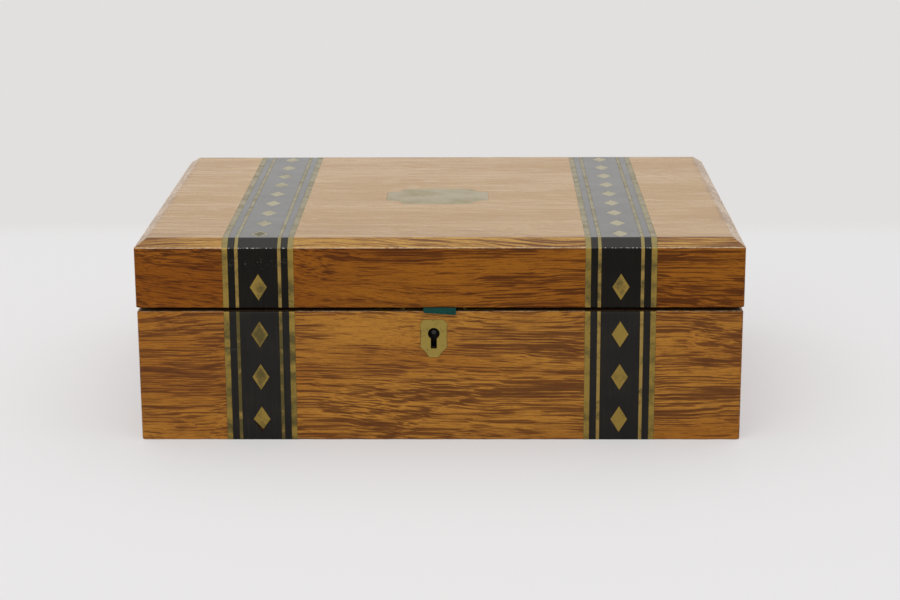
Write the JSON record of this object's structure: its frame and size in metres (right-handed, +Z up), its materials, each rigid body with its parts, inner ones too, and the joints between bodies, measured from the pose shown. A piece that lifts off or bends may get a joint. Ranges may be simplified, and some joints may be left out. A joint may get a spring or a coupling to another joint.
{
  "type": "stationery box",
  "caption": "Oblong oak box with a hinged bevelled lid, let-in brass and ebony straps with lozenges, a box lock behind a keyhole plate, and a cloth pull tab.",
  "frame": {"origin": "middle of the base's underside", "axes": "+X to the right as seen from the front, +Y towards the hinged back, +Z up"},
  "size_m": [0.356, 0.2604, 0.122],
  "materials": {
    "oak": "varnished quarter-faced oak, warm brown, worn along its edges",
    "pale_wood": "plain bottom board, unvarnished",
    "ebony": "polished ebony",
    "line_brass": "let-in brass line, tarnished",
    "lozenge_brass": "let-in brass lozenge, polished with the wood",
    "plate_brass": "worn yellow brass",
    "lock_brass": "dull sheet brass",
    "iron": "filed iron",
    "baize": "green-blue wool baize"
  },
  "bodies": {
    "base": {"base_front_board": "oak", "base_back_board": "oak", "base_left_board": "oak", "base_right_board": "oak", "base_bottom_board": "pale_wood", "base_outer_brass_lines": "line_brass", "base_ebony_lines": "ebony", "base_inner_brass_lines": "line_brass", "base_ebony_panels": "ebony", "base_brass_lozenges": "lozenge_brass", "escutcheon": "plate_brass", "lock_plate": "lock_brass", "lock_case": "lock_brass", "lock_drill_pin": "iron", "lock_guide_posts": "iron", "lock_spring": "iron", "lock_screws": "lock_brass", "hinge_left_base_leaf": "lock_brass", "hinge_right_base_leaf": "lock_brass", "hinge_left_pin": "iron", "hinge_right_pin": "iron", "hinge_base_screws": "lock_brass", "base_floor_lining": "baize", "base_front_lining": "baize", "base_back_lining": "baize", "base_left_lining": "baize", "base_right_lining": "baize"},
    "lid": {"lid_top_panel": "oak", "lid_front_board": "oak", "lid_back_board": "oak", "lid_left_board": "oak", "lid_right_board": "oak", "lid_front_outer_brass_lines": "line_brass", "lid_front_ebony_lines": "ebony", "lid_front_inner_brass_lines": "line_brass", "lid_front_ebony_panels": "ebony", "lid_front_brass_lozenges": "lozenge_brass", "lid_bevel_outer_brass_lines": "line_brass", "lid_bevel_ebony_lines": "ebony", "lid_bevel_inner_brass_lines": "line_brass", "lid_bevel_ebony_panels": "ebony", "lid_top_outer_brass_lines": "line_brass", "lid_top_ebony_lines": "ebony", "lid_top_inner_brass_lines": "line_brass", "lid_top_ebony_panels": "ebony", "lid_top_brass_lozenges": "lozenge_brass", "cartouche": "plate_brass", "hinge_left_lid_leaf": "lock_brass", "hinge_right_lid_leaf": "lock_brass", "hinge_lid_screws": "lock_brass", "link_plate": "lock_brass", "link_screws": "lock_brass", "lid_ceiling_lining": "baize", "lid_front_lining": "baize", "lid_back_lining": "baize", "lid_left_lining": "baize", "lid_right_lining": "baize", "pull_tab": "baize"},
    "bolt": {"lock_bolt": "iron"}
  },
  "joints": [
    {"name": "lid_hinge", "type": "hinge", "parent": "base", "child": "lid", "pos_m": [0, 0.1265, 0.0802], "axis": [-1, 0, 0], "range_deg": [0, 100]},
    {"name": "bolt_slide", "type": "slide", "parent": "base", "child": "bolt", "axis": [1, 0, 0], "range_m": [0, 0.0045]}
  ]
}
